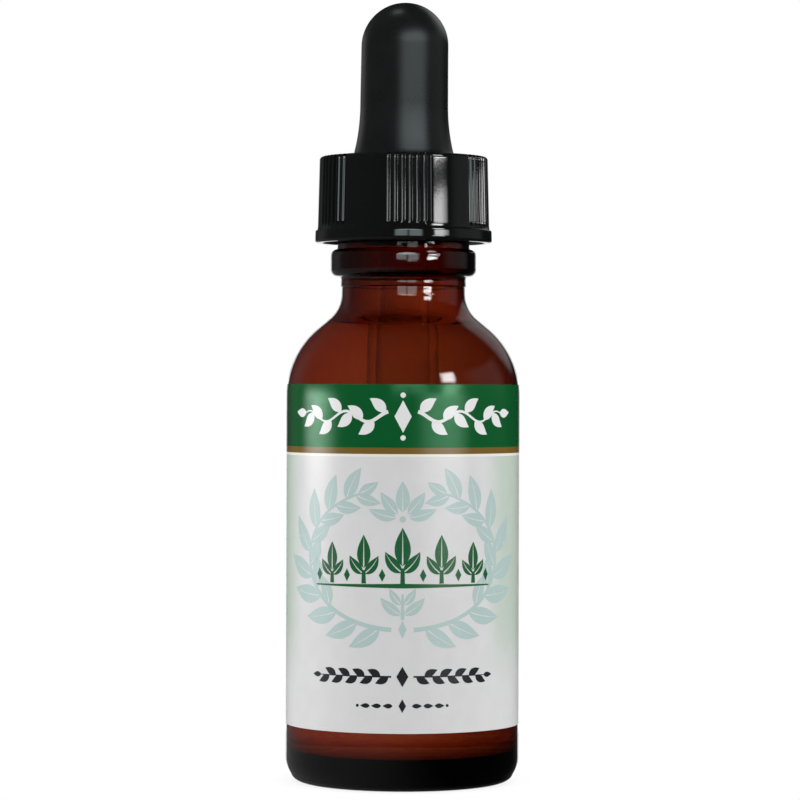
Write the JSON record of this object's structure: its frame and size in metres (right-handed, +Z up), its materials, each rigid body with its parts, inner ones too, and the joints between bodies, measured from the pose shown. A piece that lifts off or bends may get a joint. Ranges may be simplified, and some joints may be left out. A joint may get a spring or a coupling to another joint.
{
  "type": "dropper bottle",
  "caption": "Small round amber glass bottle with a wrap label, filled to the shoulder and closed by a ribbed screw cap that holds a rubber bulb and a glass pipette.",
  "frame": {"origin": "on the bottle's axis, in the plane that the bottle stands on", "axes": "+Z up along the bottle's axis, -Y towards the front of the label, +X to the right as seen from the front"},
  "size_m": [0.0322, 0.0321, 0.1072],
  "materials": {
    "amber_glass": "glossy amber glass",
    "clear_glass": "clear, flame-polished ends",
    "liquid": "clear brown liquid",
    "label_paper": "semi-gloss printed paper",
    "black_plastic": "glossy moulded",
    "black_rubber": "matte moulded"
  },
  "bodies": {
    "bottle": {"glass_bottle": "amber_glass", "label": "label_paper", "liquid": "liquid"},
    "dropper": {"rubber_bulb": "black_rubber", "glass_pipette": "clear_glass", "liquid_in_pipette": "liquid"},
    "cap": {"screw_cap": "black_plastic"}
  },
  "joints": [
    {"name": "dropper_lift", "type": "slide", "parent": "bottle", "child": "dropper", "axis": [0, 0, 1], "range_m": [0, 0.00317]},
    {"name": "cap_turn", "type": "hinge", "parent": "dropper", "child": "cap", "pos_m": [0, 0, 0.08], "axis": [0, 0, 1], "range_deg": [0, 360]}
  ],
  "couplings": [
    {"joint": "dropper_lift", "follows": "cap_turn", "m_per_rad": 0.0005053}
  ]
}
